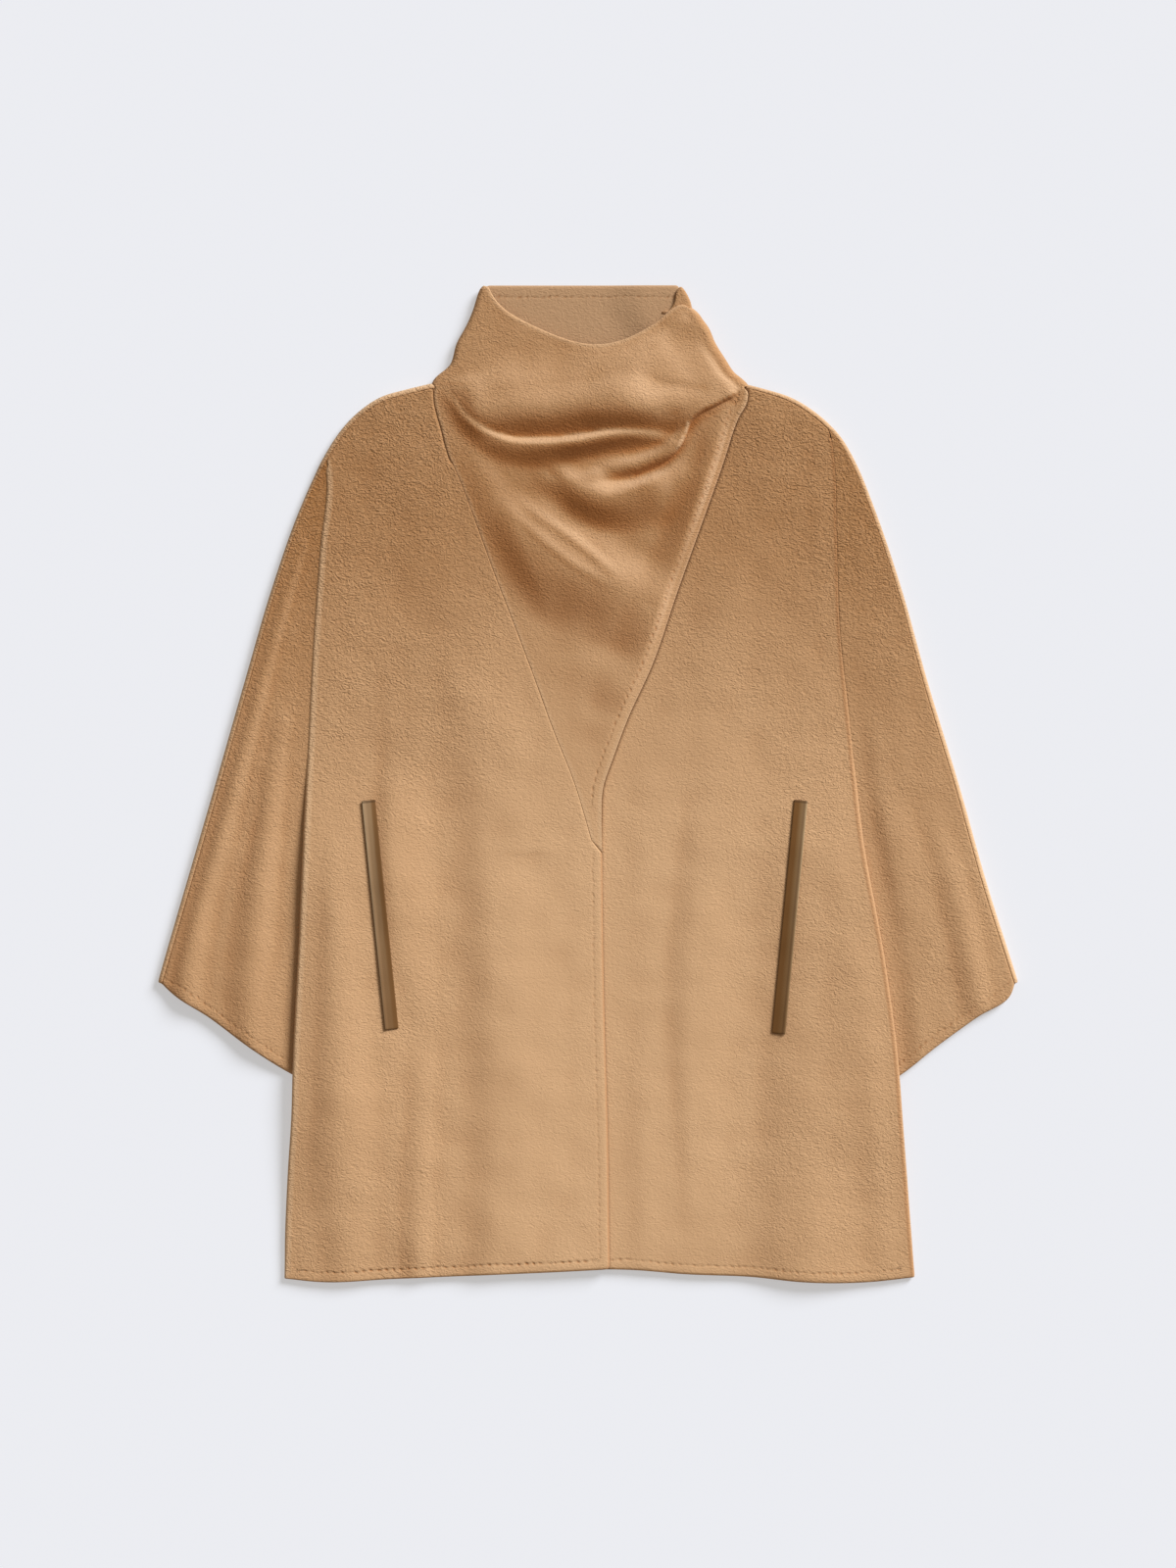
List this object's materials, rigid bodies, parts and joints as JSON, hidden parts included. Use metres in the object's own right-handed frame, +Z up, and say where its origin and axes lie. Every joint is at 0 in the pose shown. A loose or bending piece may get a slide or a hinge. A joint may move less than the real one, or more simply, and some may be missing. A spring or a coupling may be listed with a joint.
{
  "type": "wool cape",
  "caption": "Short wool cape laid flat, with wide three-quarter sleeves, a high funnel collar that wraps across the neck into a diagonal draped point, and slanted leather pocket welts.",
  "frame": {"origin": "middle of the underside, on the surface that the garment lies on, halfway between hem and collar top and between the cuffs", "axes": "+Y from the hem to the collar, +X towards the wearer's left, +Z up from the surface, from the back of the garment to its front"},
  "size_m": [0.7464, 0.8652, 0.0158],
  "materials": {
    "camel_wool": "matt brushed double-faced wool with a short rippled nap",
    "welt_leather": "smooth, half matt"
  },
  "bodies": {
    "root": {"back": "camel_wool", "front_right": "camel_wool", "front_left": "camel_wool", "sleeve_right_front": "camel_wool", "sleeve_right_back": "camel_wool", "sleeve_left_front": "camel_wool", "sleeve_left_back": "camel_wool", "collar_back": "camel_wool", "collar_wrap": "camel_wool", "collar_under": "camel_wool", "welt_right": "welt_leather", "welt_left": "welt_leather"}
  },
  "joints": []
}
